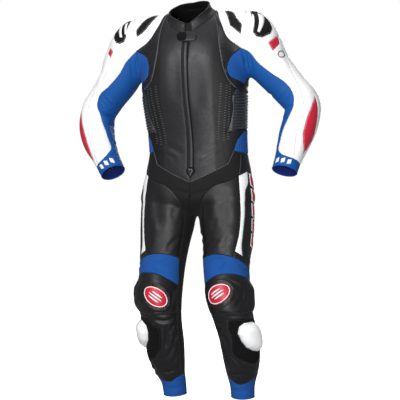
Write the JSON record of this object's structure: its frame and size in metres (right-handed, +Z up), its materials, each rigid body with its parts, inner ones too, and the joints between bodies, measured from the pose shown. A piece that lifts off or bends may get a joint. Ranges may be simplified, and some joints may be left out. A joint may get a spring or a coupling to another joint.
{
  "type": "motorcycle race suit",
  "caption": "One-piece leather race suit with stretch panels, front zip, knee cups and knee sliders, hollow and held in its worn shape.",
  "frame": {"origin": "middle of the shoulder line, at the base of the neck, where the wearer's shoulders carry the suit", "axes": "+Z up along the body, -Y towards the front, +X towards the wearer's left"},
  "size_m": [0.8845, 0.2777, 1.4188],
  "materials": {
    "black_leather": "soft satin cowhide",
    "black_stretch": "matte woven stretch",
    "white_leather": "smooth satin cowhide",
    "blue_leather": "soft satin cowhide",
    "blue_stretch": "matte ribbed stretch",
    "red_leather": "soft satin cowhide",
    "badge_leather": "smooth moulded badge",
    "hook_pad": "matte hook-and-loop pile",
    "zip_tape": "woven tape",
    "white_plastic": "polished slider plastic"
  },
  "bodies": {
    "root": {"ankle_cuff_l": "blue_stretch", "ankle_cuff_r": "blue_stretch", "arm_patch_l": "red_leather", "arm_patch_r": "red_leather", "back_panel": "black_leather", "calf_l": "black_stretch", "calf_r": "black_stretch", "chest_side_l": "black_leather", "chest_side_r": "black_leather", "collar": "black_leather", "collar_tab": "black_leather", "forearm_leaf_l": "red_leather", "forearm_leaf_r": "red_leather", "front_panel_l": "black_leather", "front_panel_r": "black_leather", "front_zip": "zip_tape", "gusset_l": "blue_stretch", "gusset_r": "blue_stretch", "hip_stretch_l": "black_stretch", "hip_stretch_r": "black_stretch", "knee_badge_l": "badge_leather", "knee_badge_r": "badge_leather", "knee_band_l": "blue_stretch", "knee_band_r": "blue_stretch", "knee_cup_l": "black_leather", "knee_cup_r": "black_leather", "seat_l": "black_leather", "seat_r": "black_leather", "shin_l": "black_leather", "shin_r": "black_leather", "shoulder_vents_l": "black_leather", "shoulder_vents_r": "black_leather", "shoulder_yoke_l": "white_leather", "shoulder_yoke_r": "white_leather", "side_rib_l": "black_stretch", "side_rib_r": "black_stretch", "sleeve_front_l": "white_leather", "sleeve_front_r": "white_leather", "sleeve_inner_l": "blue_leather", "sleeve_inner_r": "blue_leather", "sleeve_outer_l": "white_leather", "sleeve_outer_r": "white_leather", "slider_pad_l": "hook_pad", "slider_pad_r": "hook_pad", "slider_puck_l": "white_plastic", "slider_puck_r": "white_plastic", "thigh_back_l": "black_leather", "thigh_back_r": "black_leather", "thigh_front_l": "black_leather", "thigh_front_r": "black_leather", "thigh_outer_l": "black_leather", "thigh_outer_r": "black_leather", "thigh_stripe_l": "white_leather", "thigh_stripe_r": "white_leather", "waist_side_l": "blue_stretch", "waist_side_r": "blue_stretch", "wrist_cuff_l": "blue_leather", "wrist_cuff_r": "blue_leather", "yoke_inset_l": "black_leather", "yoke_inset_r": "black_leather"}
  },
  "joints": []
}
